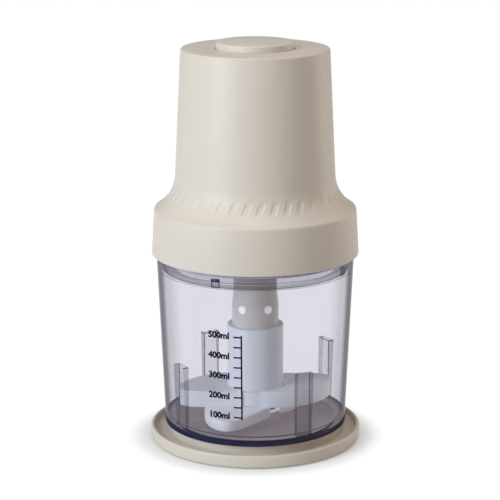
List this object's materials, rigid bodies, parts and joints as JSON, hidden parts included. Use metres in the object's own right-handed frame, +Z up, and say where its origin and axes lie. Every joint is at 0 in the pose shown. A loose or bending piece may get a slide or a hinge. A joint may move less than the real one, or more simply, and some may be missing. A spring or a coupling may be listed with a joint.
{
  "type": "food processor",
  "caption": "Cordless mini food processor: motor head with a push button on top, clear bowl with a guarded blade set on a stand tray, and an inner lid.",
  "frame": {"origin": "on the common axis, at the underside of the stand's rubber foot ring", "axes": "+Z up along the axis of the bowl, blade and head; front, with the bowl's scale, towards -Y"},
  "size_m": [0.1228, 0.1228, 0.234],
  "materials": {
    "stand_plastic": "cream moulded ABS, satin",
    "head_plastic": "cream moulded ABS, satin",
    "button_plastic": "warm grey moulded ABS, satin",
    "cover_plastic": "cream moulded ABS, plain",
    "dark_plastic": "dark glass-filled nylon, matt",
    "gear_plastic": "natural acetal, satin",
    "hub_plastic": "white moulded plastic, smooth",
    "neck_plastic": "frosted grey translucent plastic",
    "clear_plastic": "clear copolyester with a faint violet tint, polished",
    "seal_rubber": "grey silicone, satin",
    "black_rubber": "black rubber, matt",
    "foot_rubber": "dark grey rubber, matt",
    "blade_steel": "stainless steel, ground",
    "turned_steel": "turned steel",
    "screw_steel": "zinc-plated steel",
    "can_steel": "zinc-plated steel sheet",
    "sun_brass": "brass, machined",
    "bush_bronze": "sintered bronze",
    "copper": "enamelled copper wire",
    "carbon": "carbon, matt",
    "magnet": "sintered ferrite, matt",
    "core_steel": "laminated electrical steel",
    "carrier_metal": "die-cast alloy",
    "cell_sleeve": "blue heat-shrink sleeve",
    "nickel": "nickel strip",
    "board": "green circuit board with solder mask",
    "lens": "clear indicator lens"
  },
  "bodies": {
    "stand": {"base_tray": "stand_plastic", "foot_ring": "foot_rubber"},
    "bowl_body": {"bowl": "clear_plastic", "bowl_pin": "turned_steel"},
    "blade": {"drive_tube": "hub_plastic", "neck_sleeve": "neck_plastic", "blade_hub": "hub_plastic", "stem_bushes": "bush_bronze", "blade_spacer": "hub_plastic", "lower_blade": "blade_steel", "upper_blade": "blade_steel", "lower_guards": "hub_plastic", "upper_guards": "hub_plastic"},
    "lid": {"bowl_lid": "clear_plastic", "lid_seal": "seal_rubber"},
    "head": {"head_shell": "head_plastic", "bottom_cover": "cover_plastic", "cover_screws": "screw_steel", "shaft_seal": "black_rubber", "gearbox_gasket": "black_rubber", "gearbox_base": "dark_plastic", "output_bush": "bush_bronze", "ring_gear": "gear_plastic", "gearbox_screws": "screw_steel", "chassis": "dark_plastic", "motor_can": "can_steel", "motor_cap": "dark_plastic", "motor_magnets": "magnet", "motor_bushes": "bush_bronze", "motor_screws": "screw_steel", "motor_brushes": "carbon", "motor_terminals": "sun_brass", "battery_cells": "cell_sleeve", "cell_contacts": "nickel", "upper_frame": "dark_plastic", "frame_screws": "screw_steel", "main_board": "board", "board_parts": "carbon", "micro_switch": "dark_plastic", "spring_seat": "gear_plastic", "seat_screws": "screw_steel", "button_spring": "turned_steel", "charge_board": "can_steel", "indicator_lens": "lens"},
    "output": {"planet_carrier": "carrier_metal", "planet_pins": "turned_steel", "output_shaft": "turned_steel", "drive_coupling": "hub_plastic", "coupling_screw": "screw_steel"},
    "planet_1": {"planet_gear_1": "gear_plastic"},
    "planet_2": {"planet_gear_2": "gear_plastic"},
    "planet_3": {"planet_gear_3": "gear_plastic"},
    "rotor": {"sun_gear": "sun_brass", "motor_shaft": "turned_steel", "rotor_core": "core_steel", "rotor_windings": "copper", "commutator": "copper"},
    "button": {"push_button": "button_plastic"},
    "lever": {"switch_lever": "blade_steel"},
    "port_flap": {"port_cover": "seal_rubber"}
  },
  "joints": [
    {"name": "bowl_lift", "type": "slide", "parent": "stand", "child": "bowl_body", "axis": [0, 0, 1], "range_m": [0, 0.03]},
    {"name": "lid_lift", "type": "slide", "parent": "bowl_body", "child": "lid", "axis": [0, 0, 1], "range_m": [0, 0.05]},
    {"name": "head_lift", "type": "slide", "parent": "lid", "child": "head", "axis": [0, 0, 1], "range_m": [0, 0.06]},
    {"name": "button_press", "type": "slide", "parent": "head", "child": "button", "axis": [0, 0, -1], "range_m": [0, 0.003], "stiffness_N_per_m": 500, "springref_m": -0.004, "deforming": ["button_spring"]},
    {"name": "lever_hinge", "type": "hinge", "parent": "head", "child": "lever", "pos_m": [-0.011, 0, 0.2163], "axis": [0, 1, 0], "range_deg": [0, 16.2]},
    {"name": "output_spin", "type": "hinge", "parent": "head", "child": "output", "pos_m": [0, 0, 0.115], "axis": [0, 0, 1], "continuous": true},
    {"name": "rotor_spin", "type": "hinge", "parent": "head", "child": "rotor", "pos_m": [0, 0, 0.16], "axis": [0, 0, 1], "continuous": true},
    {"name": "planet_1_spin", "type": "hinge", "parent": "output", "child": "planet_1", "pos_m": [0.0108, 0, 0.134], "axis": [0, 0, 1], "continuous": true},
    {"name": "planet_2_spin", "type": "hinge", "parent": "output", "child": "planet_2", "pos_m": [-0.0054, 0.00935, 0.134], "axis": [0, 0, 1], "continuous": true},
    {"name": "planet_3_spin", "type": "hinge", "parent": "output", "child": "planet_3", "pos_m": [-0.0054, -0.00935, 0.134], "axis": [0, 0, 1], "continuous": true},
    {"name": "blade_spin", "type": "hinge", "parent": "bowl_body", "child": "blade", "pos_m": [0, 0, 0.05], "axis": [0, 0, 1], "continuous": true},
    {"name": "flap_hinge", "type": "hinge", "parent": "head", "child": "port_flap", "pos_m": [0, 0.04444, 0.16955], "axis": [1, 0, 0], "range_deg": [0, 100]}
  ],
  "couplings": [
    {"joint": "lever_hinge", "follows": "button_press", "rad_per_m": 92.076},
    {"joint": "rotor_spin", "follows": "output_spin", "ratio": 4.5},
    {"joint": "blade_spin", "follows": "output_spin", "ratio": 1},
    {"joint": "planet_1_spin", "follows": "output_spin", "ratio": -2.8},
    {"joint": "planet_2_spin", "follows": "output_spin", "ratio": -2.8},
    {"joint": "planet_3_spin", "follows": "output_spin", "ratio": -2.8}
  ]
}
